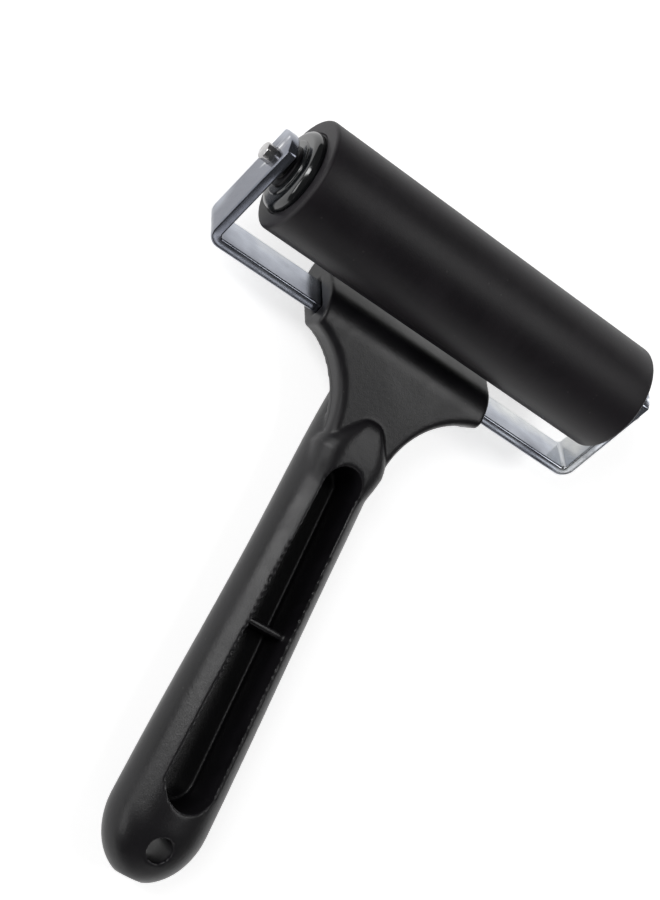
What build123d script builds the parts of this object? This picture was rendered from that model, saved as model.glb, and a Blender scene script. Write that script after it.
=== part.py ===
"""Rubber brayer: a hand roller for spreading ink, lying on its back.

Millimetres. X runs along the roller, +Y points from the handle towards the
roller, +Z is up. The origin is on the table, below the middle of the object.
The bent steel frame leaves the handle's head at a slant, so that the roller
stands clear of the table. The grip's hollow side faces up.
"""
import os
from math import cos, radians, sin, sqrt

from build123d import *

# ---------------------------------------------------------------- driving sizes
ROLLER_LENGTH = 100.0
ROLLER_RADIUS = 14.0
RUBBER_BORE_RADIUS = 10.2
RUBBER_EDGE_ROUND = 0.9
CORE_BORE_RADIUS = 8.2
CORE_RECESS = 0.3            # the core tube stops this far short of the rubber's ends
ROLLER_SHIFT = 0.35          # end float: the roller stands a little to the right

FRAME_ANGLE = 44.0           # slant of the frame's arms above the handle's line
STRIP_WIDTH = 10.4
STRIP_THICKNESS = 2.5
STRIP_EDGE_ROUND = 0.45
FRAME_SPAN = 113.5           # outside of one arm to the outside of the other
BEND_RADIUS = 2.3            # on the strip's middle line
ARM_REACH = 22.45            # middle of the crossbar to the axle's line
# Reach of each arm's tip beyond the axle's line: lower corner, middle, upper corner.
ARM_TIP_REACHES = (4.9, 6.6, 5.3)

AXLE_RADIUS = 2.1
AXLE_OVERHANG = 2.6          # beyond the outside of each arm
AXLE_END_ROUND = 0.5
AXLE_CLEARANCE = 0.05

CAP_DISC_RADIUS = 10.0
CAP_DISC_THICKNESS = 2.3     # beyond the rubber's end
CAP_DISC_ROUND = 0.9
CAP_BOSS_RADIUS = 6.8
CAP_BOSS_THICKNESS = 0.4
CAP_SPIGOT_LENGTH = 7.0      # inside the core tube
BUSH_RADIUS = 3.6
BUSH_FLANGE_RADIUS = 5.2
BUSH_FLANGE_THICKNESS = 0.6
BUSH_NOSE_THICKNESS = 0.3

STRIP_HEIGHT = 11.0          # table to the middle of the crossbar
HEAD_WIDTH = 50.0
HEAD_FRONT = 5.45            # crossbar's middle to the head's front face
HEAD_BACK = 4.8              # crossbar's middle to the head's back face
HEAD_EDGE_ROUND = 2.0
END_EDGE_ROUND = 0.5
SLOT_MOUTH = 0.6             # bevel where the strip enters the head
HEAD_RIDGE = (0.73, 8.9)     # behind and above the crossbar's middle
PLATE_TOP = 5.3              # above the crossbar's middle
PLATE_UNDERSIDE = 0.9        # above the crossbar's middle
# Rounding of the head's side outline: ridge, front foot, back foot, under the plate.
HEAD_OUTLINE_ROUNDS = (10.0, 4.9, 1.0, 3.0)
FLARE_RADIUS = 21.5
NECK_HALF_WIDTH = 8.9
NECK_DISTANCE = 28.0         # crossbar's middle back to the narrowest neck
HANDLE_REACH = 136.0         # crossbar's middle back to the handle's end
HANDLE_END_LENGTH = 15.0     # length of the rounded end

RIM_RISE = 7.9               # grip's rim above the crossbar's middle
RECESS_START = 31.5
RECESS_END = 118.0
RECESS_START_RADIUS = 4.8
RECESS_END_RADIUS = 6.5
RECESS_FLOOR = 5.2           # above the table
WEB_DISTANCE = 73.0
WEB_THICKNESS = 1.6
WEB_DROP = 4.5               # web's top below the grip's rim
HANG_HOLE_DISTANCE = 127.5
HANG_HOLE_RADIUS = 3.0
CUT_MARGIN = 2.0             # how far a cut starts outside what it cuts

# ------------------------------------------------------------- places that follow
SLANT_COS = cos(radians(FRAME_ANGLE))
SLANT_SIN = sin(radians(FRAME_ANGLE))
AXLE_AHEAD = ARM_REACH * SLANT_COS
STRIP_Y = (HANDLE_REACH - AXLE_AHEAD - ROLLER_RADIUS) / 2
AXLE_Y = STRIP_Y + AXLE_AHEAD
AXLE_Z = STRIP_HEIGHT + ARM_REACH * SLANT_SIN
AXLE_LINE = Axis((0, AXLE_Y, AXLE_Z), (1, 0, 0))
ARM_OUTSIDE = FRAME_SPAN / 2
ARM_MIDDLE = ARM_OUTSIDE - STRIP_THICKNESS / 2
RIM_HEIGHT = STRIP_HEIGHT + RIM_RISE

# The strip's own plane: local x is X, local y runs up the arms, and the normal
# runs across the strip's width.
STRIP_PLANE = Plane(
    origin=(0, STRIP_Y, STRIP_HEIGHT),
    x_dir=(1, 0, 0),
    z_dir=(0, -SLANT_SIN, SLANT_COS),
)
# The same place seen from the side: local x runs up the arms and local y across
# the strip's width.
SIDE_PLANE = Plane(
    origin=(0, STRIP_Y, STRIP_HEIGHT),
    x_dir=(0, SLANT_COS, SLANT_SIN),
    z_dir=(1, 0, 0),
)


def behind(distance: float, height: float) -> tuple:
    """Return (Y, Z) of a point a distance behind the crossbar and a height above it."""
    return (STRIP_Y - distance, STRIP_HEIGHT + height)


def beside(along: float, across: float) -> tuple:
    """Return (Y, Z) of a point given along the arms and across the strip's width."""
    return (
        STRIP_Y + along * SLANT_COS - across * SLANT_SIN,
        STRIP_HEIGHT + along * SLANT_SIN + across * SLANT_COS,
    )


def end_plane(side: int) -> Plane:
    """Return the plane at one end of the rubber whose local x points inwards."""
    end_x = ROLLER_SHIFT + side * ROLLER_LENGTH / 2
    return Plane(origin=(end_x, AXLE_Y, AXLE_Z), x_dir=(-side, 0, 0), z_dir=(0, side, 0))


# ------------------------------------------------------------------ steel frame
with BuildPart() as frame_strip:
    arm_length = ARM_REACH + max(ARM_TIP_REACHES) + CUT_MARGIN
    with BuildLine(STRIP_PLANE) as strip_path:
        FilletPolyline(
            (-ARM_MIDDLE, arm_length),
            (-ARM_MIDDLE, 0),
            (ARM_MIDDLE, 0),
            (ARM_MIDDLE, arm_length),
            radius=BEND_RADIUS,
        )
    with BuildSketch(Plane(origin=strip_path.wire() @ 0, z_dir=strip_path.wire() % 0,
                           x_dir=(1, 0, 0))) as strip_section:
        RectangleRounded(STRIP_THICKNESS, STRIP_WIDTH, STRIP_EDGE_ROUND)
    sweep(path=strip_path.wire())
    # round each arm's tip to a shallow nose
    half_width = STRIP_WIDTH / 2
    lower, middle, upper = (ARM_REACH + reach for reach in ARM_TIP_REACHES)
    with BuildSketch(SIDE_PLANE) as arm_outline:
        with BuildLine():
            Polyline(
                (upper, half_width), (-STRIP_WIDTH, half_width),
                (-STRIP_WIDTH, -half_width), (lower, -half_width),
            )
            ThreePointArc((lower, -half_width), (middle, 0), (upper, half_width))
        make_face()
    extrude(amount=FRAME_SPAN, both=True, mode=Mode.INTERSECT)
    # one hole through both arms holds the axle
    with BuildSketch(Plane.YZ):
        with Locations((AXLE_Y, AXLE_Z)):
            Circle(AXLE_RADIUS)
    extrude(amount=FRAME_SPAN, both=True, mode=Mode.SUBTRACT)

# ------------------------------------------------------------------------- axle
with BuildPart() as axle:
    with BuildSketch(Plane.YZ):
        with Locations((AXLE_Y, AXLE_Z)):
            Circle(AXLE_RADIUS)
    extrude(amount=ARM_OUTSIDE + AXLE_OVERHANG, both=True)
    fillet(axle.edges().filter_by(GeomType.CIRCLE), radius=AXLE_END_ROUND)

# ----------------------------------------------------------------------- roller
with BuildPart() as rubber_sleeve:
    with BuildSketch(Plane.YZ.offset(ROLLER_SHIFT - ROLLER_LENGTH / 2)):
        with Locations((AXLE_Y, AXLE_Z)):
            Circle(ROLLER_RADIUS)
            Circle(RUBBER_BORE_RADIUS, mode=Mode.SUBTRACT)
    extrude(amount=ROLLER_LENGTH)
    outer_edges = rubber_sleeve.edges().filter_by(GeomType.CIRCLE).group_by(SortBy.RADIUS)[-1]
    fillet(outer_edges, radius=RUBBER_EDGE_ROUND)

with BuildPart() as core_tube:
    with BuildSketch(Plane.YZ.offset(ROLLER_SHIFT - ROLLER_LENGTH / 2 + CORE_RECESS)):
        with Locations((AXLE_Y, AXLE_Z)):
            Circle(RUBBER_BORE_RADIUS)
            Circle(CORE_BORE_RADIUS, mode=Mode.SUBTRACT)
    extrude(amount=ROLLER_LENGTH - 2 * CORE_RECESS)

end_parts = {}
for side, side_name in ((-1, "left"), (1, "right")):
    # The cap: a disc outside the rubber, a low boss on it and a spigot in the tube.
    with BuildPart() as end_cap:
        with BuildSketch(end_plane(side)):
            with BuildLine():
                disc_face = -CAP_DISC_THICKNESS
                boss_face = disc_face - CAP_BOSS_THICKNESS
                Polyline(
                    (boss_face, BUSH_RADIUS),
                    (boss_face, CAP_BOSS_RADIUS),
                    (disc_face, CAP_BOSS_RADIUS),
                    (disc_face, CAP_DISC_RADIUS),
                    (CORE_RECESS, CAP_DISC_RADIUS),
                    (CORE_RECESS, CORE_BORE_RADIUS),
                    (CORE_RECESS + CAP_SPIGOT_LENGTH, CORE_BORE_RADIUS),
                    (CORE_RECESS + CAP_SPIGOT_LENGTH, BUSH_RADIUS),
                    close=True,
                )
            make_face()
        revolve(axis=AXLE_LINE)
        rim_edges = (
            end_cap.edges().filter_by(GeomType.CIRCLE)
            .filter_by(lambda edge: abs(edge.radius - CAP_DISC_RADIUS) < 0.01)
            .sort_by(Axis.X, reverse=side < 0)
        )
        fillet(rim_edges[-1], radius=CAP_DISC_ROUND)
    end_parts[f"{side_name}_end_cap"] = end_cap

    # The flanged bush that turns on the axle.
    with BuildPart() as bush:
        with BuildSketch(end_plane(side)):
            with BuildLine():
                flange_face = boss_face - BUSH_FLANGE_THICKNESS
                nose_face = flange_face - BUSH_NOSE_THICKNESS
                bush_bore = AXLE_RADIUS + AXLE_CLEARANCE
                Polyline(
                    (nose_face, bush_bore),
                    (nose_face, BUSH_RADIUS),
                    (flange_face, BUSH_RADIUS),
                    (flange_face, BUSH_FLANGE_RADIUS),
                    (boss_face, BUSH_FLANGE_RADIUS),
                    (boss_face, BUSH_RADIUS),
                    (CORE_RECESS + CAP_SPIGOT_LENGTH, BUSH_RADIUS),
                    (CORE_RECESS + CAP_SPIGOT_LENGTH, bush_bore),
                    close=True,
                )
            make_face()
        revolve(axis=AXLE_LINE)
    end_parts[f"{side_name}_bush"] = bush

# ----------------------------------------------------------------------- handle
# Barrel sections: distance behind the crossbar, half width, top and bottom height
# above the crossbar's middle.
BARREL_SECTIONS = (
    (12.0, 8.4, 5.2, -10.9),
    (27.0, 9.8, 7.6, -10.7),
    (43.0, 10.25, RIM_RISE, -10.3),
    (61.0, 10.6, RIM_RISE, -10.3),
    (80.0, 11.25, RIM_RISE, -10.7),
    (100.0, 12.0, RIM_RISE, -11.2),
    (HANDLE_REACH - HANDLE_END_LENGTH, 12.5, RIM_RISE, -11.5),
)

# The rounded end's sections, as shares of a quarter ellipse's reach.
END_STEPS = (0.0, 0.35, 0.65, 0.86, 0.96)

# Where the head's slanted front and back faces meet the table and the plate.
FRONT_FOOT = (-STRIP_HEIGHT - HEAD_FRONT * SLANT_SIN) / SLANT_COS
BACK_FOOT = (-STRIP_HEIGHT + HEAD_BACK * SLANT_SIN) / SLANT_COS
BACK_TOP = (PLATE_UNDERSIDE + HEAD_BACK * SLANT_SIN) / SLANT_COS
FLARE_CENTRE_X = NECK_HALF_WIDTH + FLARE_RADIUS
FLARE_START = NECK_DISTANCE - sqrt(FLARE_RADIUS**2 - (FLARE_CENTRE_X - HEAD_WIDTH / 2) ** 2)

with BuildPart() as handle:
    # The head and its plate, seen from the side; the plate runs on into the grip.
    plate_end = NECK_DISTANCE + HEAD_BACK
    with BuildSketch(Plane.YZ) as head_profile:
        with BuildLine():
            FilletPolyline(
                behind(plate_end, PLATE_TOP),
                behind(*HEAD_RIDGE),
                beside(HEAD_FRONT, FRONT_FOOT),
                beside(-HEAD_BACK, BACK_FOOT),
                beside(-HEAD_BACK, BACK_TOP),
                behind(plate_end, PLATE_UNDERSIDE),
                radius=(0, *HEAD_OUTLINE_ROUNDS, 0),
                close=True,
            )
        make_face()
    extrude(amount=HEAD_WIDTH / 2, both=True)
    # The same seen from above: both flanks sweep in to the neck.
    with BuildSketch() as head_plan:
        with BuildLine():
            front_y = STRIP_Y + HEAD_WIDTH / 2
            flare_y = STRIP_Y - FLARE_START
            neck_y = STRIP_Y - NECK_DISTANCE
            rear_y = neck_y - HEAD_WIDTH / 2
            Polyline((0, front_y), (HEAD_WIDTH / 2, front_y), (HEAD_WIDTH / 2, flare_y))
            RadiusArc((HEAD_WIDTH / 2, flare_y), (NECK_HALF_WIDTH, neck_y), -FLARE_RADIUS)
            Polyline((NECK_HALF_WIDTH, neck_y), (NECK_HALF_WIDTH, rear_y), (0, rear_y))
            mirror(about=Plane.YZ)
        make_face()
    extrude(amount=3 * STRIP_HEIGHT, mode=Mode.INTERSECT)
    flare_tops = (
        handle.edges().filter_by(GeomType.ELLIPSE)
        .filter_by(lambda edge: edge.center().Z > STRIP_HEIGHT + PLATE_UNDERSIDE + 1)
    )
    fillet(flare_tops, radius=HEAD_EDGE_ROUND)
    end_rims = handle.edges().filter_by(
        lambda edge: abs(abs(edge.center().X) - HEAD_WIDTH / 2) < 0.01
        and edge.center().Y > flare_y + 0.5
    )
    fillet(end_rims, radius=END_EDGE_ROUND)

    # The grip: oval sections behind one another, then the rounded end.
    for distance, half_width, top, bottom in BARREL_SECTIONS:
        with BuildSketch(Plane.XZ.offset(distance - STRIP_Y)):
            with Locations((0, STRIP_HEIGHT + (top + bottom) / 2)):
                Ellipse(half_width, (top - bottom) / 2)
    loft()
    for step in END_STEPS:
        scale = sqrt(1 - step**2)
        last_stretch = HANDLE_END_LENGTH * (1 - step / END_STEPS[-1])
        with BuildSketch(Plane.XZ.offset(HANDLE_REACH - last_stretch - STRIP_Y)):
            with Locations((0, STRIP_HEIGHT + (top + bottom) / 2)):
                Ellipse(half_width * scale, (top - bottom) / 2 * scale)
    loft()
    # The back stands on the table: a flat foot under the grip's end.
    split(bisect_by=Plane.XY, keep=Keep.TOP)

    # The hollow side: a long slot with a floor, and a low web across it.
    web_top = RIM_HEIGHT - WEB_DROP
    recess_levels = (
        (RIM_HEIGHT + CUT_MARGIN, web_top, False),
        (web_top, RECESS_FLOOR, True),
    )
    for level_top, level_bottom, has_web in recess_levels:
        with BuildSketch(Plane.XY.offset(level_top)):
            with Locations((0, STRIP_Y - RECESS_START - RECESS_START_RADIUS)):
                Circle(RECESS_START_RADIUS)
            with Locations((0, STRIP_Y - RECESS_END + RECESS_END_RADIUS)):
                Circle(RECESS_END_RADIUS)
            make_hull()
            if has_web:
                with Locations((0, STRIP_Y - WEB_DISTANCE)):
                    Rectangle(HEAD_WIDTH, WEB_THICKNESS, mode=Mode.SUBTRACT)
        extrude(amount=level_bottom - level_top, mode=Mode.SUBTRACT)
    # A hole through the grip's end, to hang the tool by.
    with Locations((0, STRIP_Y - HANG_HOLE_DISTANCE, RIM_HEIGHT)):
        Hole(HANG_HOLE_RADIUS)

    # The slot that grips the steel strip, with a bevelled mouth at each end.
    with BuildSketch(SIDE_PLANE):
        RectangleRounded(STRIP_THICKNESS, STRIP_WIDTH, STRIP_EDGE_ROUND)
    extrude(amount=HEAD_WIDTH, both=True, mode=Mode.SUBTRACT)
    for side in (-1, 1):
        mouth_plane = Plane(
            origin=(side * HEAD_WIDTH / 2, STRIP_Y, STRIP_HEIGHT),
            x_dir=(0, SLANT_COS, SLANT_SIN),
            z_dir=(side, 0, 0),
        )
        with BuildSketch(mouth_plane):
            RectangleRounded(
                STRIP_THICKNESS + 2 * SLOT_MOUTH, STRIP_WIDTH + 2 * SLOT_MOUTH, SLOT_MOUTH
            )
        extrude(amount=-SLOT_MOUTH, taper=40, mode=Mode.SUBTRACT)

# ------------------------------------------------------------------------ write
os.makedirs("parts", exist_ok=True)
pieces = {
    "handle": handle,
    "frame_strip": frame_strip,
    "axle": axle,
    "rubber_sleeve": rubber_sleeve,
    "core_tube": core_tube,
    **end_parts,
}
for name, piece in pieces.items():
    piece.part.label = name
    export_step(piece.part, f"parts/{name}.step")
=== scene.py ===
"""Looks of the rubber brayer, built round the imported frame.

All lengths are in metres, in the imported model's frame: X runs along the roller, +Y points
from the grip to the roller and +Z is up. The tool lies on its back on a pale table.
"""
import logging
from dataclasses import dataclass, field
from enum import Enum
from math import cos, pi, radians, sin
from typing import Callable

import bmesh
import bpy
from mathutils import Euler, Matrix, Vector


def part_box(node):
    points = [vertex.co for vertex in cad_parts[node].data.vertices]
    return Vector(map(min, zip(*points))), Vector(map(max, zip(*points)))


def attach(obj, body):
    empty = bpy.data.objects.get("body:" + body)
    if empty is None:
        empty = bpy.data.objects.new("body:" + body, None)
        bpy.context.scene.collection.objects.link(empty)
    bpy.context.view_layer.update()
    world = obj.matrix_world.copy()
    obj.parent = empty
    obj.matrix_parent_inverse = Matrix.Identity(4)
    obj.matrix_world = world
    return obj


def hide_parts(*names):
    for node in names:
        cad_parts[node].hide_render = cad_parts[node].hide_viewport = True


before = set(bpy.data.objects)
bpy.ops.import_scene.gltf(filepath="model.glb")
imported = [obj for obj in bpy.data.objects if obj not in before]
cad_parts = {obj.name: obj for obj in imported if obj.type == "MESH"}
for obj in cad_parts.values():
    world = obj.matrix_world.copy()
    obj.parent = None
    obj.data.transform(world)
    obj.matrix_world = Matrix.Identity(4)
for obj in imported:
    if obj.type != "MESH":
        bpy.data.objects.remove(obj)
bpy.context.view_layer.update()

LOG = logging.getLogger("brayer")
MM = 0.001
ARM_SLANT = 44.0                # degrees from the table up to the arms
ARM_REACH = 22.45 * MM          # from the crossbar's middle to the axle
AROUND = 144                    # faces round a turned piece
ARC_STEPS = 5                   # straight steps in a rounded corner of an outline
NEAR = 0.01 * MM                # places closer than this count as the same
TURNED_CREASE = 32              # degrees between faces that keep a crease on a turned piece
BENT_CREASE = 30
MOULDED_CREASE = 60
MIX_SHARE, MIX_UNDER, MIX_OVER = 0, 6, 7   # a Mix node's inputs when it mixes colours
MIX_RESULT = 2                             # and its output


class Element(Enum):
    """What a selection picks in edit mode."""

    VERT = "VERT"
    EDGE = "EDGE"
    FACE = "FACE"


class Ends(Enum):
    """How a turned piece closes."""

    BORE = "the outline comes back to its start round a bore"
    CAPS = "each end gets a flat cap"


class Side(Enum):
    """The two ends of the roller."""

    LEFT = -1
    RIGHT = 1


# ------------------------------------------------------------------ modelling helpers
def deselect_all() -> None:
    """Leave nothing selected."""
    bpy.ops.object.select_all(action="DESELECT")


def select_only(piece: bpy.types.Object) -> None:
    """Make a piece the active object and the only selected one."""
    deselect_all()
    piece.select_set(True)
    bpy.context.view_layer.objects.active = piece


def start_editing(piece: bpy.types.Object) -> None:
    """Enter edit mode on one piece, with nothing picked."""
    select_only(piece)
    bpy.ops.object.mode_set(mode="EDIT")
    bpy.ops.mesh.select_all(action="DESELECT")


def stop_editing() -> None:
    """Go back to object mode."""
    bpy.ops.object.mode_set(mode="OBJECT")


def pick(piece: bpy.types.Object, element: Element, test: Callable[[Vector], bool]) -> None:
    """Add the elements whose middle passes a test to the selection, in edit mode.

    Args:
        piece: the object in edit mode.
        element: whether vertices, edges or faces are picked.
        test: says whether a place is wanted.
    """
    bpy.ops.mesh.select_mode(type=element.value)
    mesh = bmesh.from_edit_mesh(piece.data)
    if element is Element.VERT:
        places = [(vert, vert.co) for vert in mesh.verts]
    elif element is Element.EDGE:
        places = [(edge, (edge.verts[0].co + edge.verts[1].co) / 2) for edge in mesh.edges]
    else:
        places = [(face, face.calc_center_median()) for face in mesh.faces]
    for item, place in places:
        if test(place):
            item.select_set(True)
    mesh.select_flush_mode()
    bmesh.update_edit_mesh(piece.data)


def named_active(name: str) -> bpy.types.Object:
    """Name the object that an operator has just added, and return it."""
    piece = bpy.context.active_object
    piece.name = name
    piece.data.name = name
    return piece


def set_in_place(piece: bpy.types.Object) -> None:
    """Move a piece's place into its mesh, so that its object sits at the origin."""
    select_only(piece)
    bpy.ops.object.transform_apply(location=True, rotation=True, scale=True)


def apply_modifier(piece: bpy.types.Object, kind: str, **settings: object) -> None:
    """Add a modifier, set it and apply it.

    Args:
        piece: the object that gets it.
        kind: Blender's name for the modifier.
        settings: the modifier's values.
    """
    modifier = piece.modifiers.new(kind.title(), kind)
    for key, value in settings.items():
        setattr(modifier, key, value)
    select_only(piece)
    bpy.ops.object.modifier_apply(modifier=modifier.name)


def smooth_by_angle(piece: bpy.types.Object, degrees: float) -> None:
    """Shade a piece smooth, with a crease where faces meet at more than an angle."""
    select_only(piece)
    bpy.ops.object.shade_smooth_by_angle(angle=radians(degrees))


def point_faces_out(piece: bpy.types.Object) -> None:
    """Merge a closed mesh's doubled vertices and turn every face outwards."""
    start_editing(piece)
    bpy.ops.mesh.select_all(action="SELECT")
    bpy.ops.mesh.remove_doubles(threshold=0.002 * MM)
    bpy.ops.mesh.normals_make_consistent(inside=False)
    stop_editing()


def cut_away(piece: bpy.types.Object, cutter: bpy.types.Object) -> None:
    """Cut one solid out of another and throw the cutter away."""
    apply_modifier(piece, "BOOLEAN", operation="DIFFERENCE", object=cutter, solver="EXACT")
    bpy.data.objects.remove(cutter)


def dress(piece: bpy.types.Object, material: bpy.types.Material) -> None:
    """Give a whole piece one material."""
    piece.data.materials.clear()
    piece.data.materials.append(material)


def finish_piece(
    piece: bpy.types.Object, material: bpy.types.Material, body: str, node: str
) -> None:
    """Dress a piece, let it ride on its body and let it stand for its CAD node.

    Args:
        piece: the finished mesh.
        material: its material.
        body: the body that it moves with.
        node: the CAD node that it stands for.
    """
    dress(piece, material)
    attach(piece, body)
    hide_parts(node)
    LOG.info("%s: %d faces", piece.name, len(piece.data.polygons))


@dataclass
class Outline:
    """A closed outline of a turned part: places along the axle and radii, in metres."""

    corners: list[tuple[float, float, float]] = field(default_factory=list)

    def corner(self, along: float, radius: float, rounding: float = 0.0) -> "Outline":
        """Add a corner.

        Args:
            along: place along the axle.
            radius: distance from the axle.
            rounding: radius of the corner's own rounding.

        Returns:
            The outline, so that calls can follow each other.
        """
        self.corners.append((along, radius, rounding))
        return self

    def points(self) -> list[tuple[float, float]]:
        """Return the outline's points, with an arc in each rounded corner."""
        result = []
        count = len(self.corners)
        for number, (along, radius, rounding) in enumerate(self.corners):
            here = Vector((along, radius))
            if rounding <= 0:
                result.append((here.x, here.y))
                continue
            before = Vector(self.corners[number - 1][:2]) - here
            after = Vector(self.corners[(number + 1) % count][:2]) - here
            half_angle = before.angle(after) / 2
            reach = rounding * cos(half_angle) / sin(half_angle)
            centre = here + (before.normalized() + after.normalized()).normalized() * (
                rounding / sin(half_angle)
            )
            first = here + before.normalized() * reach - centre
            last = here + after.normalized() * reach - centre
            for step in range(ARC_STEPS + 1):
                spoke = first.slerp(last, step / ARC_STEPS, first)
                result.append(tuple(centre + spoke.normalized() * rounding))
        return result


@dataclass
class Lathe:
    """Turns outlines about the roller's axle."""

    centre_y: float
    centre_z: float

    def turn(self, name: str, outline: Outline, ends: Ends) -> bpy.types.Object:
        """Build a turned piece from a ring that is extruded and resized along an outline.

        Args:
            name: the piece's name.
            outline: what is turned.
            ends: whether the last ring joins the first or both ends get a cap.

        Returns:
            The closed piece.
        """
        points = outline.points()
        along, radius = points[0]
        deselect_all()
        bpy.ops.mesh.primitive_circle_add(
            vertices=AROUND,
            radius=radius,
            fill_type="NOTHING",
            location=(along, self.centre_y, self.centre_z),
            rotation=(0, pi / 2, 0),
        )
        piece = named_active(name)
        set_in_place(piece)
        start_editing(piece)
        bpy.ops.mesh.select_mode(type="EDGE")
        bpy.ops.mesh.select_all(action="SELECT")
        for next_along, next_radius in points[1:]:
            bpy.ops.mesh.extrude_region_move(
                TRANSFORM_OT_translate={"value": (next_along - along, 0, 0)}
            )
            growth = next_radius / radius
            bpy.ops.transform.resize(
                value=(1, growth, growth),
                center_override=(next_along, self.centre_y, self.centre_z),
            )
            along, radius = next_along, next_radius
        bpy.ops.mesh.select_all(action="DESELECT")
        bpy.ops.mesh.select_non_manifold(extend=False)
        if ends is Ends.CAPS:
            bpy.ops.mesh.fill_holes(sides=0)
        else:
            bpy.ops.mesh.bridge_edge_loops()
        stop_editing()
        point_faces_out(piece)
        smooth_by_angle(piece, TURNED_CREASE)
        return piece


# --------------------------------------------------------------------- node helpers
class NodeBench:
    """Adds and joins nodes in one node tree."""

    def __init__(self, tree: bpy.types.NodeTree) -> None:
        """Keep a material's or a group's node tree and clear it."""
        self.tree = tree
        tree.nodes.clear()

    def add(self, kind: str, inputs: dict | None = None, **settings: object) -> bpy.types.Node:
        """Add a node.

        Args:
            kind: the node's type, without its ShaderNode prefix.
            inputs: a value or an output socket for each named or numbered input.
            settings: the node's own properties.

        Returns:
            The node.
        """
        prefix = "" if kind.startswith("NodeGroup") else "ShaderNode"
        node = self.tree.nodes.new(prefix + kind)
        for key, value in settings.items():
            setattr(node, key, value)
        for key, value in (inputs or {}).items():
            if isinstance(value, bpy.types.NodeSocket):
                self.tree.links.new(value, node.inputs[key])
            else:
                node.inputs[key].default_value = value
        return node

    def math(self, operation: str, *values: object) -> bpy.types.NodeSocket:
        """Add a Math node on numbers or sockets and return its result."""
        node = self.add("Math", {n: v for n, v in enumerate(values)}, operation=operation)
        return node.outputs[0]

    def spread(self, value: object, low: float, high: float) -> bpy.types.NodeSocket:
        """Stretch a value from 0 to 1 onto a range and return the result."""
        node = self.add("MapRange", {"Value": value, "To Min": low, "To Max": high})
        return node.outputs["Result"]

    def ramp(self, value: object, stops: list[tuple[float, tuple]]) -> bpy.types.NodeSocket:
        """Turn a value into a colour through a ramp of places and their colours."""
        node = self.add("ValToRGB", {"Fac": value})
        elements = node.color_ramp.elements
        while len(elements) < len(stops):
            elements.new(0.5)
        for element, (place, colour) in zip(elements, stops):
            element.position = place
            element.color = (*colour, 1.0)
        return node.outputs["Color"]

    def blend(
        self, share: object, under: object, over: object, blend_type: str = "MIX"
    ) -> bpy.types.NodeSocket:
        """Lay one colour over another.

        Args:
            share: how much of the upper colour shows.
            under: the lower colour or its socket.
            over: the upper colour or its socket.
            blend_type: Blender's name for the way they mix.

        Returns:
            The mixed colour's socket.
        """
        node = self.add(
            "Mix", {MIX_SHARE: share, MIX_UNDER: under, MIX_OVER: over},
            data_type="RGBA", blend_type=blend_type,
        )
        return node.outputs[MIX_RESULT]

    def stain(
        self, mask: bpy.types.NodeSocket, share: float, under: object, tone: tuple
    ) -> bpy.types.NodeSocket:
        """Lay a plain tone over a colour where a mask shows, and return the result."""
        return self.blend(self.math("MULTIPLY", mask, share), under, (*tone, 1))

    def bump(
        self, height: bpy.types.NodeSocket, strength: float, depth: float
    ) -> bpy.types.NodeSocket:
        """Turn a height into a normal, with the relief's depth in metres."""
        node = self.add("Bump", {"Height": height, "Strength": strength, "Distance": depth})
        return node.outputs["Normal"]

    def join(self, value: bpy.types.NodeSocket, node: bpy.types.Node, name: str) -> None:
        """Join a socket to a node's named input."""
        self.tree.links.new(value, node.inputs[name])


def make_group(name: str, inputs: dict[str, float], outputs: list[str]) -> tuple:
    """Start a shader node group.

    Args:
        name: the group's name.
        inputs: each number input with its usual value; a Vector input is always there.
        outputs: the names of the outputs, all masks or heights.

    Returns:
        The group, its bench, its input node and its output node.
    """
    group = bpy.data.node_groups.new(name, "ShaderNodeTree")
    group.interface.new_socket("Vector", in_out="INPUT", socket_type="NodeSocketVector")
    for key, value in inputs.items():
        socket = group.interface.new_socket(key, in_out="INPUT", socket_type="NodeSocketFloat")
        socket.default_value = value
    for key in outputs:
        group.interface.new_socket(key, in_out="OUTPUT", socket_type="NodeSocketFloat")
    bench = NodeBench(group)
    return group, bench, bench.add("NodeGroupInput"), bench.add("NodeGroupOutput")


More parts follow.
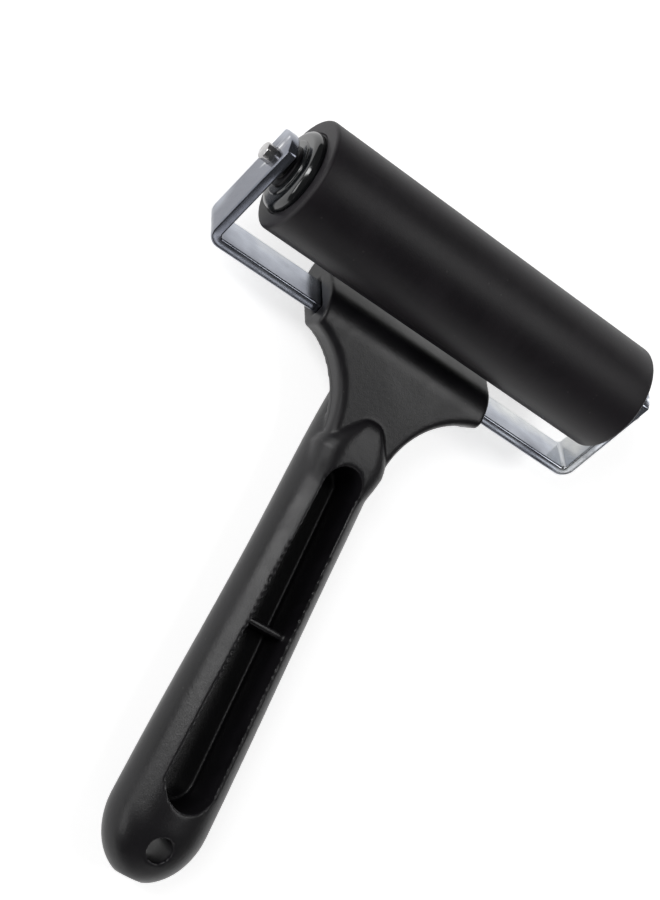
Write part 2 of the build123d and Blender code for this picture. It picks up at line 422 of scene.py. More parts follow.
class SharedEffects:
    """Node groups that several finishes use, each built once."""

    def __init__(self) -> None:
        """Build every group."""
        self.grain = self.build_grain()
        self.handling = self.build_handling()
        self.lines = self.build_lines()
        self.wear_and_highlight_edges = self.build_wear_and_highlight_edges()

    def build_grain(self) -> bpy.types.NodeTree:
        """Return a group that makes the fine satin grain of a moulded or ground surface."""
        group, bench, start, end = make_group("fine grain", {"Scale": 3000.0}, ["Height"])
        fine = bench.add("TexNoise", {
            "Vector": start.outputs["Vector"], "Scale": start.outputs["Scale"],
            "Detail": 3.0, "Roughness": 0.6,
        })
        coarse_scale = bench.math("MULTIPLY", start.outputs["Scale"], 0.32)
        pits = bench.add("TexVoronoi", {
            "Vector": start.outputs["Vector"], "Scale": coarse_scale, "Randomness": 1.0,
        }, feature="SMOOTH_F1")
        pit_depth = bench.math("MULTIPLY", pits.outputs["Distance"], 0.45)
        height = bench.math("ADD", fine.outputs[0], pit_depth)
        bench.join(height, end, "Height")
        return group

    def build_handling(self) -> bpy.types.NodeTree:
        """Return a group that makes soft patches, as handling leaves them."""
        group, bench, start, end = make_group("handling", {"Scale": 40.0}, ["Patches", "Specks"])
        soft = bench.add("TexNoise", {
            "Vector": start.outputs["Vector"], "Scale": start.outputs["Scale"],
            "Detail": 5.0, "Roughness": 0.62, "Distortion": 0.6,
        })
        patches = bench.add("MapRange", {
            "Value": soft.outputs[0], "From Min": 0.33, "From Max": 0.68,
        }, interpolation_type="SMOOTHSTEP")
        dots = bench.add("TexVoronoi", {
            "Vector": start.outputs["Vector"],
            "Scale": bench.math("MULTIPLY", start.outputs["Scale"], 14.0), "Randomness": 1.0,
        })
        size = bench.math("LESS_THAN", dots.outputs["Distance"], 0.12)
        chance = bench.add("SeparateColor", {"Color": dots.outputs["Color"]})
        few = bench.math("GREATER_THAN", chance.outputs[0], 0.93)
        bench.join(patches.outputs["Result"], end, "Patches")
        bench.join(bench.math("MULTIPLY", size, few), end, "Specks")
        return group

    def build_lines(self) -> bpy.types.NodeTree:
        """Return a group that makes fine straight lines across the vector's X."""
        group, bench, start, end = make_group(
            "fine lines", {"Lines": 5000.0, "Length": 60.0}, ["Height", "Streaks"]
        )
        parts = bench.add("SeparateXYZ", {"Vector": start.outputs["Vector"]})
        for output, share, detail in (("Height", 1.0, 3.0), ("Streaks", 0.16, 4.0)):
            across = bench.math("MULTIPLY", start.outputs["Lines"], share)
            vector = bench.add("CombineXYZ", {
                "X": bench.math("MULTIPLY", parts.outputs["X"], across),
                "Y": bench.math("MULTIPLY", parts.outputs["Y"], start.outputs["Length"]),
                "Z": bench.math("MULTIPLY", parts.outputs["Z"], start.outputs["Length"]),
            })
            noise = bench.add("TexNoise", {
                "Vector": vector.outputs[0], "Scale": 1.0, "Detail": detail, "Roughness": 0.65,
            })
            bench.join(noise.outputs[0], end, output)
        return group

    def build_wear_and_highlight_edges(self) -> bpy.types.NodeTree:
        """Return a group that marks sharp outer edges, broken up by noise; the finishes lighten
        these edges as wear and as a painted highlight.
        """
        group, bench, start, end = make_group(
            "scuffed and highlighted edges", {"Start": 0.52, "Reach": 0.10}, ["Mask"]
        )
        geometry = bench.add("NewGeometry")
        sharp = bench.add("MapRange", {
            "Value": geometry.outputs["Pointiness"],
            "From Min": start.outputs["Start"],
            "From Max": bench.math("ADD", start.outputs["Start"], start.outputs["Reach"]),
        })
        noise = bench.add("TexNoise", {
            "Vector": start.outputs["Vector"], "Scale": 420.0, "Detail": 4.0,
        })
        broken = bench.add("MapRange", {
            "Value": noise.outputs[0], "From Min": 0.35, "From Max": 0.62,
        })
        mask = bench.math("MULTIPLY", sharp.outputs["Result"], broken.outputs["Result"])
        bench.join(mask, end, "Mask")
        return group


def begin_material(name: str) -> tuple[bpy.types.Material, NodeBench, bpy.types.Node]:
    """Start a material with a Principled shader joined to its output.

    Args:
        name: the material's name.

    Returns:
        The material, its bench and its shader node.
    """
    material = bpy.data.materials.new(name)
    material.use_nodes = True
    bench = NodeBench(material.node_tree)
    shader = bench.add("BsdfPrincipled")
    bench.add("OutputMaterial", {"Surface": shader.outputs["BSDF"]})
    return material, bench, shader


def place(bench: NodeBench, centre: Vector, turn: tuple = (0, 0, 0)) -> bpy.types.NodeSocket:
    """Return object coordinates measured from a centre and turned, in radians."""
    coordinates = bench.add("TexCoord")
    mapping = bench.add("Mapping", {
        "Vector": coordinates.outputs["Object"], "Location": centre, "Rotation": turn,
    }, vector_type="TEXTURE")
    return mapping.outputs["Vector"]


def use_group(bench: NodeBench, group: bpy.types.NodeTree, **inputs: object) -> bpy.types.Node:
    """Place a shared group in a material, with its values or sockets."""
    return bench.add("Group", inputs, node_tree=group)


# ------------------------------------------------------------------------- finishes
@dataclass(frozen=True)
class MouldedPlastic:
    """Satin or glossy black plastic, as it comes from a mould, with sharp edges lightened as
    wear and as a painted highlight.
    """

    name: str
    dark: tuple = (0.0042, 0.0038, 0.0048)
    light: tuple = (0.0085, 0.0078, 0.0095)
    smooth: float = 0.30
    rough: float = 0.40
    grain_scale: float = 2700.0
    grain_depth: float = 0.085
    grain_strength: float = 0.35
    patch_scale: float = 46.0
    speck_tone: tuple = (0.16, 0.155, 0.15)
    speck_share: float = 0.14
    # tone of sharp edges: scuffed plastic and a painted highlight
    wear_and_highlight_tone: tuple = (0.05, 0.05, 0.053)
    wear_and_highlight_start: float = 0.53
    wear_and_highlight_reach: float = 0.12
    wear_and_highlight_share: float = 0.6
    wear_polish: float = 0.08       # how much smoother a worn edge is
    shine: float = 0.40

    def material(self, effects: SharedEffects) -> bpy.types.Material:
        """Build the material with the shared node groups and return it."""
        material, bench, shader = begin_material(self.name)
        shader.inputs["Specular IOR Level"].default_value = self.shine
        spot = place(bench, Vector((0, 0, 0)))
        grain = use_group(bench, effects.grain, Vector=spot, Scale=self.grain_scale)
        marks = use_group(bench, effects.handling, Vector=spot, Scale=self.patch_scale)
        wear_and_highlight_mask = use_group(
            bench, effects.wear_and_highlight_edges, Vector=spot, Start=self.wear_and_highlight_start, Reach=self.wear_and_highlight_reach
        )
        tone = bench.ramp(marks.outputs["Patches"], [(0.0, self.dark), (1.0, self.light)])
        dusty = bench.stain(marks.outputs["Specks"], self.speck_share, tone, self.speck_tone)
        # sharp edges lightened: wear and a painted highlight
        edged = bench.stain(wear_and_highlight_mask.outputs["Mask"], self.wear_and_highlight_share, dusty, self.wear_and_highlight_tone)
        bench.join(edged, shader, "Base Color")
        rough = bench.spread(marks.outputs["Patches"], self.smooth, self.rough)
        worn_rough = bench.math("MULTIPLY_ADD", wear_and_highlight_mask.outputs["Mask"], -self.wear_polish, rough)
        bench.join(worn_rough, shader, "Roughness")
        normal = bench.bump(grain.outputs["Height"], self.grain_strength, self.grain_depth * MM)
        bench.join(normal, shader, "Normal")
        return material


@dataclass(frozen=True)
class GroundRubber:
    """Soft black rubber, ground true in the round."""

    name: str
    centre: tuple
    dark: tuple = (0.0062, 0.0050, 0.0068)
    light: tuple = (0.0135, 0.0112, 0.0140)
    smooth: float = 0.40
    rough: float = 0.52
    shine: float = 0.28
    grain_scale: float = 3600.0
    ring_lines: float = 3400.0
    ring_length: float = 70.0
    ring_share: float = 0.6         # the grinding rings' part of the relief
    relief_strength: float = 0.4
    relief_depth: float = 0.045
    patch_scale: float = 34.0
    speck_tone: tuple = (0.13, 0.125, 0.12)
    speck_share: float = 0.12

    def material(self, effects: SharedEffects) -> bpy.types.Material:
        """Build the material with the shared node groups and return it."""
        material, bench, shader = begin_material(self.name)
        shader.inputs["Specular IOR Level"].default_value = self.shine
        spot = place(bench, Vector(self.centre))
        grain = use_group(bench, effects.grain, Vector=spot, Scale=self.grain_scale)
        rings = use_group(
            bench, effects.lines, Vector=spot, Lines=self.ring_lines, Length=self.ring_length
        )
        marks = use_group(bench, effects.handling, Vector=spot, Scale=self.patch_scale)
        patches = bench.math("MULTIPLY", marks.outputs["Patches"], 0.5)
        mixed = bench.math("MULTIPLY_ADD", rings.outputs["Streaks"], 0.5, patches)
        tone = bench.ramp(mixed, [(0.15, self.dark), (0.85, self.light)])
        dusty = bench.stain(marks.outputs["Specks"], self.speck_share, tone, self.speck_tone)
        bench.join(dusty, shader, "Base Color")
        bench.join(bench.spread(mixed, self.smooth, self.rough), shader, "Roughness")
        height = bench.math(
            "MULTIPLY_ADD", rings.outputs["Height"], self.ring_share, grain.outputs["Height"]
        )
        normal = bench.bump(height, self.relief_strength, self.relief_depth * MM)
        bench.join(normal, shader, "Normal")
        return material


@dataclass(frozen=True)
class BrightSteel:
    """Bright metal with fine lines, the faint tints that zinc plate has, and near-white sharp
    edges that are worn plating and a painted highlight.
    """

    name: str
    centre: tuple
    turn: tuple
    tints: tuple = ((0.17, 0.18, 0.215), (0.42, 0.445, 0.50), (0.76, 0.77, 0.75))
    smooth: float = 0.15
    rough: float = 0.27
    tint_stops: tuple = (0.36, 0.5, 0.66)
    drift_scale: float = 34.0
    streaks: tuple = (0.86, 1.08)   # darkest and brightest line
    lines: float = 5200.0
    line_length: float = 90.0
    line_strength: float = 0.3
    line_depth: float = 0.012
    patch_scale: float = 120.0
    speck_rough: float = 0.2
    # tone of sharp edges: worn plating and a painted highlight of the bright edge lines
    wear_and_highlight_tone: tuple = (0.86, 0.86, 0.87)
    wear_and_highlight_start: float = 0.52
    wear_and_highlight_reach: float = 0.1
    wear_and_highlight_share: float = 0.7

    def material(self, effects: SharedEffects) -> bpy.types.Material:
        """Build the material with the shared node groups and return it."""
        material, bench, shader = begin_material(self.name)
        shader.inputs["Metallic"].default_value = 1.0
        spot = place(bench, Vector(self.centre), self.turn)
        brushing = use_group(
            bench, effects.lines, Vector=spot, Lines=self.lines, Length=self.line_length
        )
        marks = use_group(bench, effects.handling, Vector=spot, Scale=self.patch_scale)
        wear_and_highlight_mask = use_group(
            bench, effects.wear_and_highlight_edges, Vector=spot, Start=self.wear_and_highlight_start, Reach=self.wear_and_highlight_reach
        )
        drift = bench.add("TexNoise", {"Vector": spot, "Scale": self.drift_scale, "Detail": 3.0})
        tint = bench.ramp(drift.outputs[0], list(zip(self.tint_stops, self.tints)))
        streak = bench.spread(brushing.outputs["Streaks"], *self.streaks)
        grey = bench.add("CombineColor", {0: streak, 1: streak, 2: streak})
        shaded = bench.blend(1.0, tint, grey.outputs[0], "MULTIPLY")
        # sharp edges lightened towards near-white: worn plating and a painted highlight
        bright = bench.stain(wear_and_highlight_mask.outputs["Mask"], self.wear_and_highlight_share, shaded, self.wear_and_highlight_tone)
        bench.join(bright, shader, "Base Color")
        rough = bench.spread(marks.outputs["Patches"], self.smooth, self.rough)
        speckled = bench.math("MULTIPLY_ADD", marks.outputs["Specks"], self.speck_rough, rough)
        bench.join(speckled, shader, "Roughness")
        normal = bench.bump(
            brushing.outputs["Height"], self.line_strength, self.line_depth * MM
        )
        bench.join(normal, shader, "Normal")
        return material


@dataclass(frozen=True)
class PaleTable:
    """The plain pale floor that the tool lies on."""

    name: str = "pale_table"
    tones: tuple = ((0.88, 0.88, 0.88), (0.91, 0.91, 0.91))
    fibre_scale: float = 900.0
    roughness: float = 0.85
    shine: float = 0.2
    glow: float = 0.66              # keeps the tool's shadow faint

    def material(self) -> bpy.types.Material:
        """Build the material and return it."""
        material, bench, shader = begin_material(self.name)
        spot = place(bench, Vector((0, 0, 0)))
        fibre = bench.add("TexNoise", {"Vector": spot, "Scale": self.fibre_scale, "Detail": 4.0})
        tone = bench.ramp(fibre.outputs[0], list(zip((0.3, 0.7), self.tones)))
        bench.join(tone, shader, "Base Color")
        shader.inputs["Roughness"].default_value = self.roughness
        shader.inputs["Specular IOR Level"].default_value = self.shine
        shader.inputs["Emission Color"].default_value = (1.0, 1.0, 1.0, 1.0)
        shader.inputs["Emission Strength"].default_value = self.glow
        return material


# --------------------------------------------------------------------- sub-assemblies
@dataclass
class Roller:
    """The rubber roller: cover, core, two hub caps and two bushes."""

    lathe: Lathe
    axle_radius: float
    edge_round: float = 0.9 * MM
    bore_bevel: float = 0.35 * MM
    running_gap: float = 0.05 * MM
    cover_end: float = 6.0 * MM               # from the cover's end to its plain middle
    cap_bore: float = 3.6 * MM
    cap_boss_radius: float = 6.8 * MM
    cap_boss_height: float = 0.4 * MM
    cap_face_height: float = 2.7 * MM         # from the boss's face to the rubber's end
    cap_gap: float = 0.3 * MM                 # the disc's back goes past the rubber's end
    cap_rim_round: float = 1.6 * MM
    cap_bore_bevel: float = 0.2 * MM
    cap_boss_round: float = 0.28 * MM
    cap_boss_draft: float = 0.15 * MM         # how much wider the boss is at its root
    cap_back_round: float = 0.2 * MM
    spigot_round: float = 0.4 * MM
    root_round: float = 0.1 * MM
    spigot_radius: float = 8.2 * MM
    bush_nose_radius: float = 3.6 * MM
    bush_nose_height: float = 0.3 * MM
    bush_flange: float = 0.6 * MM
    bush_bore_bevel: float = 0.15 * MM
    bush_nose_round: float = 0.12 * MM
    bush_nose_draft: float = 0.05 * MM
    bush_flange_round: float = 0.22 * MM

    def build_cover(self, rubber: bpy.types.Material) -> None:
        """Turn the rubber cover."""
        low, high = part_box("rubber_sleeve")
        outer = (high.z - low.z) / 2
        bore = (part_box("core_tube")[1].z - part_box("core_tube")[0].z) / 2
        outline = Outline()
        outline.corner((low.x + high.x) / 2, outer)
        outline.corner(low.x + self.cover_end, outer)
        outline.corner(low.x, outer, self.edge_round)
        outline.corner(low.x, bore + self.bore_bevel)
        outline.corner(low.x + self.bore_bevel, bore)
        outline.corner(high.x - self.bore_bevel, bore)
        outline.corner(high.x, bore + self.bore_bevel)
        outline.corner(high.x, outer, self.edge_round)
        outline.corner(high.x - self.cover_end, outer)
        piece = self.lathe.turn("rubber_cover", outline, Ends.BORE)
        finish_piece(piece, rubber, "roller", "rubber_sleeve")

    def build_cap(self, side: Side, plastic: bpy.types.Material) -> None:
        """Turn one glossy hub cap: a disc with a rounded rim, a low boss and a spigot."""
        node = f"{side.name.lower()}_end_cap"
        low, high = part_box(node)
        outwards = side.value
        face = high.x if outwards > 0 else low.x
        inner = low.x if outwards > 0 else high.x
        disc_radius = (high.z - low.z) / 2
        disc_face = face - outwards * self.cap_boss_height
        rubber_end = face - outwards * self.cap_face_height
        seat = rubber_end - outwards * self.cap_gap
        outline = Outline()
        outline.corner(inner, self.cap_bore)
        outline.corner(face - outwards * self.cap_bore_bevel, self.cap_bore)
        outline.corner(face, self.cap_bore + self.cap_bore_bevel)
        outline.corner(face, self.cap_boss_radius, self.cap_boss_round)
        outline.corner(disc_face, self.cap_boss_radius + self.cap_boss_draft, self.root_round)
        outline.corner(disc_face, disc_radius, self.cap_rim_round)
        outline.corner(seat, disc_radius, self.cap_back_round)
        outline.corner(seat, self.spigot_radius)
        outline.corner(inner, self.spigot_radius, self.spigot_round)
        piece = self.lathe.turn(f"{side.name.lower()}_hub_cap", outline, Ends.BORE)
        finish_piece(piece, plastic, "roller", node)

    def build_bush(self, side: Side, plastic: bpy.types.Material) -> None:
        """Turn one flanged bush."""
        node = f"{side.name.lower()}_bush"
        low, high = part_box(node)
        outwards = side.value
        nose = high.x if outwards > 0 else low.x
        inner = low.x if outwards > 0 else high.x
        flange_radius = (high.z - low.z) / 2
        flange_face = nose - outwards * self.bush_nose_height
        flange_back = flange_face - outwards * self.bush_flange
        bore = self.axle_radius + self.running_gap
        outline = Outline()
        outline.corner(inner, bore)
        outline.corner(nose - outwards * self.bush_bore_bevel, bore)
        outline.corner(nose, bore + self.bush_bore_bevel)
        outline.corner(nose, self.bush_nose_radius, self.bush_nose_round)
        outline.corner(flange_face, self.bush_nose_radius + self.bush_nose_draft)
        outline.corner(flange_face, flange_radius, self.bush_flange_round)
        outline.corner(flange_back, flange_radius, self.root_round)
        outline.corner(flange_back, self.bush_nose_radius)
        outline.corner(inner, self.bush_nose_radius)
        piece = self.lathe.turn(f"{side.name.lower()}_axle_bush", outline, Ends.BORE)
        finish_piece(piece, plastic, "roller", node)


@dataclass
class Fork:
    """The bent steel strip and the axle that is pressed into its arms."""

    lathe: Lathe
    origin: Vector
    slant: float
    axle_radius: float
    width: float = 10.4 * MM
    thickness: float = 2.5 * MM
    bend_radius: float = 2.3 * MM
    edge_round: float = 0.45 * MM
    rows: int = 12
    bend_steps: int = 12
    tip_reaches: tuple = (4.9 * MM, 6.6 * MM, 5.3 * MM)
    arm_stretches: int = 8
    hole_gap: float = 0.03 * MM
    hole_bevel: float = 0.18 * MM
    axle_dome: float = 0.16 * MM
    axle_round: float = 0.45 * MM
    axle_tip: float = 0.02 * MM               # radius of the flat on each end
    dome_knee: tuple = (0.3, 0.6)             # shares of the dome's height and radius

    def tip_reach(self, across: float) -> float:
        """Return how far an arm reaches beyond the axle's line at a place across it.

        Args:
            across: distance from the strip's middle line, upwards.

        Returns:
            The reach, on the curve through the three given reaches.
        """
        low, middle, high = self.tip_reaches
        place_across = across / (self.width / 2)
        return middle + (high - low) / 2 * place_across + (
            (high + low) / 2 - middle
        ) * place_across**2

    def build_strip(self, steel: bpy.types.Material) -> None:
        """Bend the strip from one flat section, round its tips, and drill it."""
        arm_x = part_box("frame_strip")[1].x - self.thickness / 2
        arm_length = (Vector((0, self.lathe.centre_y, self.lathe.centre_z)) - self.origin).length
        straight = arm_length - self.bend_radius
        deselect_all()
        bpy.ops.mesh.primitive_grid_add(
            x_subdivisions=2, y_subdivisions=self.rows, size=1,
            location=(-arm_x, arm_length, 0), rotation=(pi / 2, 0, 0),
        )
        strip = named_active("fork_strip")
        set_in_place(strip)
        start_editing(strip)
        bpy.ops.mesh.select_all(action="SELECT")
        bpy.ops.transform.resize(
            value=(self.thickness, 1, self.width), center_override=(-arm_x, arm_length, 0)
        )
        self.extrude_along((0, -straight, 0), self.arm_stretches)
        self.bend((-arm_x + self.bend_radius, self.bend_radius, 0))
        self.extrude_along((2 * (arm_x - self.bend_radius), 0, 0), 1)
        self.bend((arm_x - self.bend_radius, self.bend_radius, 0))
        self.extrude_along((0, straight, 0), self.arm_stretches)
        stop_editing()
        self.round_tips(strip, arm_length)
        point_faces_out(strip)
        apply_modifier(
            strip, "BEVEL", width=self.edge_round, segments=4, limit_method="ANGLE",
            angle_limit=radians(60),
        )
        self.drill(strip, arm_length, arm_x)
        strip.rotation_euler = (self.slant, 0, 0)
        strip.location = self.origin
        set_in_place(strip)
        smooth_by_angle(strip, BENT_CREASE)
        finish_piece(strip, steel, "frame", "frame_strip")

    def extrude_along(self, step: tuple, times: int) -> None:
        """Extrude the selected section along a straight run, in equal stretches."""
        for _ in range(times):
            bpy.ops.mesh.extrude_region_move(
                TRANSFORM_OT_translate={"value": tuple(part / times for part in step)}
            )

    def bend(self, centre: tuple) -> None:
        """Spin the selected section through a right angle about a centre."""
        bpy.ops.mesh.spin(
            steps=self.bend_steps, angle=-pi / 2, center=centre, axis=(0, 0, 1)
        )

    def round_tips(self, strip: bpy.types.Object, arm_length: float) -> None:
        """Push each row of both tips out to the tip's curve.

        Args:
            strip: the strip, still flat in its own plane.
            arm_length: from the crossbar's middle to the axle's line.
        """
        start_editing(strip)
        for row in range(self.rows + 1):
            across = (row / self.rows - 0.5) * self.width
            bpy.ops.mesh.select_all(action="DESELECT")
            pick(strip, Element.VERT, lambda spot: (
                abs(spot.z - across) < NEAR and abs(spot.y - arm_length) < NEAR
            ))
            bpy.ops.transform.translate(value=(0, self.tip_reach(across), 0))
        stop_editing()

    def drill(self, strip: bpy.types.Object, arm_length: float, arm_x: float) -> None:
        """Drill both arms for the axle and soften the hole's rims.

        Args:
            strip: the strip, still flat in its own plane.
            arm_length: from the crossbar's middle to the axle's line.
            arm_x: from the middle to an arm's middle.
        """
        hole_radius = self.axle_radius + self.hole_gap
        deselect_all()
        bpy.ops.mesh.primitive_cylinder_add(
            vertices=64, radius=hole_radius, depth=2 * arm_x + 4 * self.thickness,
            location=(0, arm_length, 0), rotation=(0, pi / 2, 0),
        )
        drill = named_active("drill")
        set_in_place(drill)
        cut_away(strip, drill)
        start_editing(strip)
        for face_x in (arm_x + self.thickness / 2, arm_x - self.thickness / 2):
            pick(strip, Element.EDGE, lambda spot: (
                abs(abs(spot.x) - face_x) < NEAR
                and abs(Vector((spot.y - arm_length, spot.z)).length - hole_radius) < 2 * NEAR
            ))
        bpy.ops.mesh.bevel(offset=self.hole_bevel, segments=3, affect="EDGES")
        stop_editing()

    def build_axle(self, steel: bpy.types.Material) -> None:
        """Turn the axle, with a slightly domed end at each side."""
        low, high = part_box("axle")
        radius = self.axle_radius
        dome = self.axle_dome
        knee_height, knee_radius = self.dome_knee
        outline = Outline()
        outline.corner(low.x, self.axle_tip)
        outline.corner(low.x + knee_height * dome, knee_radius * radius)
        outline.corner(low.x + dome, radius, self.axle_round)
        outline.corner(high.x - dome, radius, self.axle_round)
        outline.corner(high.x - knee_height * dome, knee_radius * radius)
        outline.corner(high.x, self.axle_tip)
        rod = self.lathe.turn("axle_rod", outline, Ends.CAPS)
        finish_piece(rod, steel, "frame", "axle")


@dataclass
class Grip:
    """The black moulded grip: a flared head, an oval barrel and a long hollow."""

    strip_y: float
    strip_height: float
    # each ring of the shoulder: distance behind the strip, half width, rise (all mm)
    shoulder_rings: tuple = (
        (19.4, 1.8, 6.9), (19.7, 3.0, 7.35), (20.4, 4.1, 7.8), (21.6, 5.2, 8.05),
        (23.5, 6.9, 8.2), (25.5, 8.4, 8.2), (27.5, 9.4, 8.15), (29.5, 9.8, 8.05),
        (33.0, 9.3, 7.75), (37.0, 8.3, 7.3), (41.0, 7.6, 6.8), (45.0, 7.0, 6.2),
    )
    shoulder_round: float = 0.65              # of each ring's half width
    hollow_start: float = 36.3 * MM
    hollow_radius: float = 4.8 * MM
    hollow_taper: float = 0.0227              # growth of the radius along the hollow
    cutter_depth: float = 40.0 * MM
    cutter_reach: float = 12.0 * MM
    # where the blend of the shoulder's back starts, is full, starts to end and ends
    blend_places: tuple = (30.0 * MM, 34.0 * MM, 41.0 * MM, 46.0 * MM)
    blend_floor: float = 1.0 * MM             # above the strip
    rim_margin: float = 0.9 * MM              # beside the hollow, kept as it is
    flank: tuple = (8.0 * MM, 27.0 * MM)      # the flanks' start and end behind the strip
    flank_half_width: float = 9.0 * MM
    voxel: float = 0.50 * MM
    remesh_turn: float = radians(33.0)        # keeps the long rims off the voxel rows
    parting_height: float = 2.6 * MM          # above the strip
    parting_width: float = 0.16 * MM
    parting_depth: float = 0.07 * MM

    def behind(self, distance: float) -> float:
        """Return the Y of a place a distance behind the strip."""
        return self.strip_y - distance

    def build(self, plastic: bpy.types.Material) -> None:
        """Model the grip."""
        grip = self.copy_core()
        shoulder = self.build_shoulder()
        select_only(grip)
        shoulder.select_set(True)
        bpy.ops.object.join()
        self.turn_mesh(grip, self.remesh_turn)
        solids = self.copy_of(grip, "grip_solids")
        apply_modifier(grip, "REMESH", mode="VOXEL", voxel_size=self.voxel, adaptivity=0.0)
        apply_modifier(grip, "SHRINKWRAP", target=solids, wrap_method="NEAREST_SURFACEPOINT")
        bpy.data.objects.remove(solids)
        self.turn_mesh(grip, -self.remesh_turn)
        self.relax_shoulder(grip)
        apply_modifier(grip, "SMOOTH", factor=0.5, iterations=3)
        self.score_parting_line(grip)
        smooth_by_angle(grip, MOULDED_CREASE)
        finish_piece(grip, plastic, "frame", "handle")

    @staticmethod
    def turn_mesh(piece: bpy.types.Object, angle: float) -> None:
        """Turn a piece's mesh about the upright axis by an angle in radians."""
        start_editing(piece)
        bpy.ops.mesh.select_all(action="SELECT")
        bpy.ops.transform.rotate(value=angle, orient_axis="Z", center_override=(0, 0, 0))
        stop_editing()

    @staticmethod
    def copy_of(solid: bpy.types.Object, name: str) -> bpy.types.Object:
        """Return a copy of an object with a mesh of its own."""
        copy = bpy.data.objects.new(name, solid.data.copy())
        bpy.context.scene.collection.objects.link(copy)
        return copy

    def copy_core(self) -> bpy.types.Object:
        """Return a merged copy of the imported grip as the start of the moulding."""
        grip = self.copy_of(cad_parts["handle"], "grip_moulding")
        point_faces_out(grip)
        return grip

    def build_shoulder(self) -> bpy.types.Object:
        """Return the blunt shoulder where the barrel rises out of the head's plate."""
        distance, half_width, rise = self.shoulder_rings[0]
        deselect_all()
        bpy.ops.mesh.primitive_plane_add(size=2.0, rotation=(pi / 2, 0, 0))
        shoulder = named_active("shoulder")
        set_in_place(shoulder)
        start_editing(shoulder)
        bpy.ops.mesh.select_all(action="SELECT")
        bpy.ops.mesh.bevel(offset=self.shoulder_round, segments=12, affect="VERTICES")
        bpy.ops.mesh.select_all(action="SELECT")
        bpy.ops.transform.resize(
            value=(half_width * MM, 1, rise * MM), center_override=(0, 0, 0)
        )
        bpy.ops.transform.translate(
            value=(0, self.behind(distance * MM), self.strip_height)
        )
        for next_distance, next_half_width, next_rise in self.shoulder_rings[1:]:
            bpy.ops.mesh.extrude_region_move(TRANSFORM_OT_translate={
                "value": (0, (distance - next_distance) * MM, 0)
            })
            bpy.ops.transform.resize(
                value=(next_half_width / half_width, 1, next_rise / rise),
                center_override=(0, self.behind(next_distance * MM), self.strip_height),
            )
            distance, half_width, rise = next_distance, next_half_width, next_rise
        bpy.ops.mesh.select_all(action="SELECT")
        bpy.ops.mesh.normals_make_consistent(inside=False)
        stop_editing()
        self.cut_hollow(shoulder)
        return shoulder

    def cut_hollow(self, shoulder: bpy.types.Object) -> None:
        """Keep the shoulder's solid out of the grip's long hollow."""
        start_y = self.behind(self.hollow_start)
        deselect_all()
        bpy.ops.mesh.primitive_cylinder_add(
            vertices=64, radius=self.hollow_radius, depth=self.cutter_depth,
            location=(0, start_y, self.strip_height),
        )
        cutter = named_active("cutter")
        set_in_place(cutter)
        start_editing(cutter)
        pick(cutter, Element.VERT, lambda spot: spot.y < start_y - NEAR)
        bpy.ops.transform.translate(value=(0, -self.cutter_reach, 0))
        bpy.ops.transform.resize(
            value=(1.0 + self.hollow_taper * self.cutter_reach / self.hollow_radius, 1, 1),
            center_override=(0, start_y, self.strip_height),
        )
        stop_editing()
        cut_away(shoulder, cutter)

    def relax_shoulder(self, grip: bpy.types.Object) -> None:
        """Blend the shoulder's back into the barrel of the remeshed grip."""
        group = grip.vertex_groups.new(name="shoulder")
        fade_start, fade_full, end_full, end = map(self.behind, self.blend_places)
        floor = self.strip_height + self.blend_floor
        for vert in grip.data.vertices:
            spot = vert.co
            along = self.behind(self.hollow_start) - spot.y
            rim = self.hollow_radius + along * self.hollow_taper
            in_hollow = spot.y < fade_start and abs(spot.x) < rim + self.rim_margin
            if spot.z < floor or in_hollow or not end < spot.y < fade_start:
                continue
            rise = min(1.0, (fade_start - spot.y) / (fade_start - fade_full))
            fall = min(1.0, (spot.y - end) / (end_full - end))
            group.add([vert.index], min(rise, fall), "REPLACE")
        apply_modifier(grip, "SMOOTH", factor=0.6, iterations=24, vertex_group="shoulder")
        grip.vertex_groups.clear()

    def score_parting_line(self, grip: bpy.types.Object) -> None:
        """Score the mould's parting line round the flared flanks of the head."""
        height = self.strip_height + self.parting_height
        start_editing(grip)
        bpy.ops.mesh.select_all(action="SELECT")
        bpy.ops.mesh.bisect(plane_co=(0, 0, height), plane_no=(0, 0, 1))
        bpy.ops.mesh.select_all(action="DESELECT")
        pick(grip, Element.EDGE, lambda spot: (
            abs(spot.z - height) < NEAR / 2 and self.on_flank(spot)
        ))
        bpy.ops.mesh.bevel(offset=self.parting_width, segments=2, affect="EDGES")
        bpy.ops.mesh.select_all(action="DESELECT")
        pick(grip, Element.VERT, lambda spot: (
            abs(spot.z - height) < NEAR / 2 and self.on_flank(spot)
        ))
        bpy.ops.transform.shrink_fatten(value=-self.parting_depth)
        stop_editing()

    def on_flank(self, spot: Vector) -> bool:
        """Say whether a place is on one of the head's flared flanks."""
        start, end = self.flank
        return start < self.strip_y - spot.y < end and abs(spot.x) > self.flank_half_width


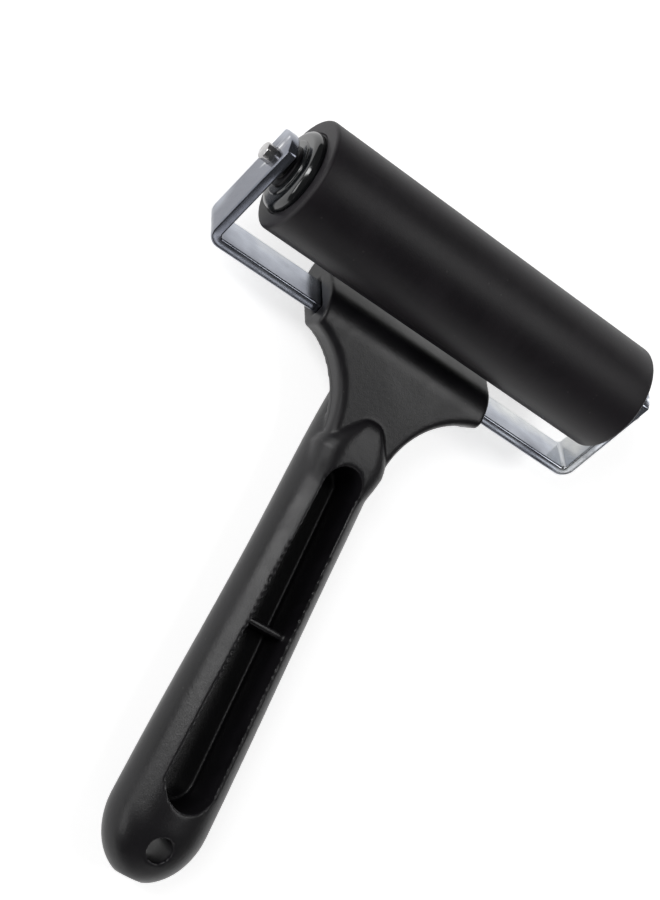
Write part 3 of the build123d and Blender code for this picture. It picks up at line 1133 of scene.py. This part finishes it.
@dataclass
class Studio:
    """The pale table, the soft lights and the camera."""

    camera_place: tuple = (-0.191521, -0.053991, 0.381079)
    camera_turn: tuple = (-3.72531, -28.54177, 30.29119)      # degrees
    lens: float = 72.427
    sensor: float = 36.0
    table_size: float = 6.0
    room_light: float = 0.10
    # each light's name, place, target, width and height, and watts
    lights: tuple = (
        ("key", (-0.74, 0.14, 0.54), (0, 0, 0.01), (0.20, 0.8), 3.9),
        ("left", (-0.80, -0.38, 0.27), (0, 0.05, 0.02), (0.55, 0.20), 1.2),
        ("top", (0.44, 0.26, 0.86), (0, 0.05, 0.02), (0.50, 0.36), 2.3),
        ("low", (0.42, -0.80, 0.28), (0, 0.04, 0.01), (0.60, 0.09), 0.32),
        ("rim", (0.75, 0.75, 0.12), (0, 0.04, 0.02), (0.5, 0.16), 0.8),
    )

    def build_table(self) -> None:
        """Lay the table under the tool."""
        deselect_all()
        bpy.ops.mesh.primitive_grid_add(
            x_subdivisions=8, y_subdivisions=8, size=self.table_size, location=(0, 0, -0.02 * MM)
        )
        table = named_active("table")
        set_in_place(table)
        dress(table, PaleTable().material())

    def soft_light(
        self, name: str, place_at: tuple, target: tuple, size: tuple, power: float
    ) -> None:
        """Hang one soft rectangular light, pointed at a target; its power is in watts."""
        lamp = bpy.data.lights.new(name, "AREA")
        lamp.shape = "RECTANGLE"
        lamp.size, lamp.size_y = size
        lamp.energy = power
        holder = bpy.data.objects.new(name, lamp)
        bpy.context.scene.collection.objects.link(holder)
        aim = Vector(target) - Vector(place_at)
        holder.location = place_at
        holder.rotation_euler = aim.to_track_quat("-Z", "Y").to_euler()

    def build_lights(self) -> None:
        """Light the tool softly from above and from both sides."""
        world = bpy.data.worlds.new("soft room")
        world.use_nodes = True
        background = world.node_tree.nodes["Background"]
        background.inputs["Color"].default_value = (1.0, 1.0, 1.0, 1.0)
        background.inputs["Strength"].default_value = self.room_light
        bpy.context.scene.world = world
        bpy.context.scene.view_settings.view_transform = "Standard"
        for light in self.lights:
            self.soft_light(*light)

    def build_camera(self) -> None:
        """Set the camera where the tool is seen from above its left end."""
        lens = bpy.data.cameras.new("camera")
        lens.lens = self.lens
        lens.sensor_width = self.sensor
        lens.clip_start = 0.01
        camera = bpy.data.objects.new("camera", lens)
        bpy.context.scene.collection.objects.link(camera)
        camera.location = self.camera_place
        camera.rotation_euler = Euler([radians(angle) for angle in self.camera_turn], "XYZ")
        bpy.context.scene.camera = camera

    def build(self) -> None:
        """Build the whole studio."""
        self.build_table()
        self.build_lights()
        self.build_camera()


def main() -> None:
    """Build every sub-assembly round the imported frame, then the studio."""
    logging.basicConfig(level=logging.INFO, format="%(name)s: %(message)s")
    effects = SharedEffects()
    axle_low, axle_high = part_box("axle")
    axle_middle = (axle_low + axle_high) / 2
    axle_radius = (axle_high.z - axle_low.z) / 2
    lathe = Lathe(axle_middle.y, axle_middle.z)
    slant = radians(ARM_SLANT)
    strip_origin = Vector((
        0, axle_middle.y - ARM_REACH * cos(slant), axle_middle.z - ARM_REACH * sin(slant)
    ))

    rubber = GroundRubber("ground_rubber", tuple(axle_middle)).material(effects)
    gloss = MouldedPlastic(
        "glossy_black", dark=(0.003, 0.0036, 0.004), light=(0.006, 0.0072, 0.008),
        smooth=0.10, rough=0.20, grain_depth=0.008, shine=0.95,
    ).material(effects)
    bush_black = MouldedPlastic("bush_black", smooth=0.28, rough=0.4).material(effects)
    satin = MouldedPlastic("satin_black").material(effects)
    core_black = MouldedPlastic("core_black", smooth=0.5, rough=0.7).material(effects)
    zinc = BrightSteel(
        "zinc_plate", tuple(strip_origin), (slant, 0, pi / 2)
    ).material(effects)
    rod_steel = BrightSteel(
        "drawn_rod", tuple(axle_middle), (0, 0, 0),
        tints=((0.36, 0.36, 0.37), (0.46, 0.45, 0.45), (0.54, 0.53, 0.50)),
        smooth=0.16, rough=0.28, lines=2600.0,
    ).material(effects)

    roller = Roller(lathe, axle_radius)
    roller.build_cover(rubber)
    for side in Side:
        roller.build_cap(side, gloss)
        roller.build_bush(side, bush_black)
    dress(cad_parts["core_tube"], core_black)
    fork = Fork(lathe, strip_origin, slant, axle_radius)
    fork.build_strip(zinc)
    fork.build_axle(rod_steel)
    Grip(strip_origin.y, strip_origin.z).build(satin)
    Studio().build()


if __name__ == "__main__":
    main()
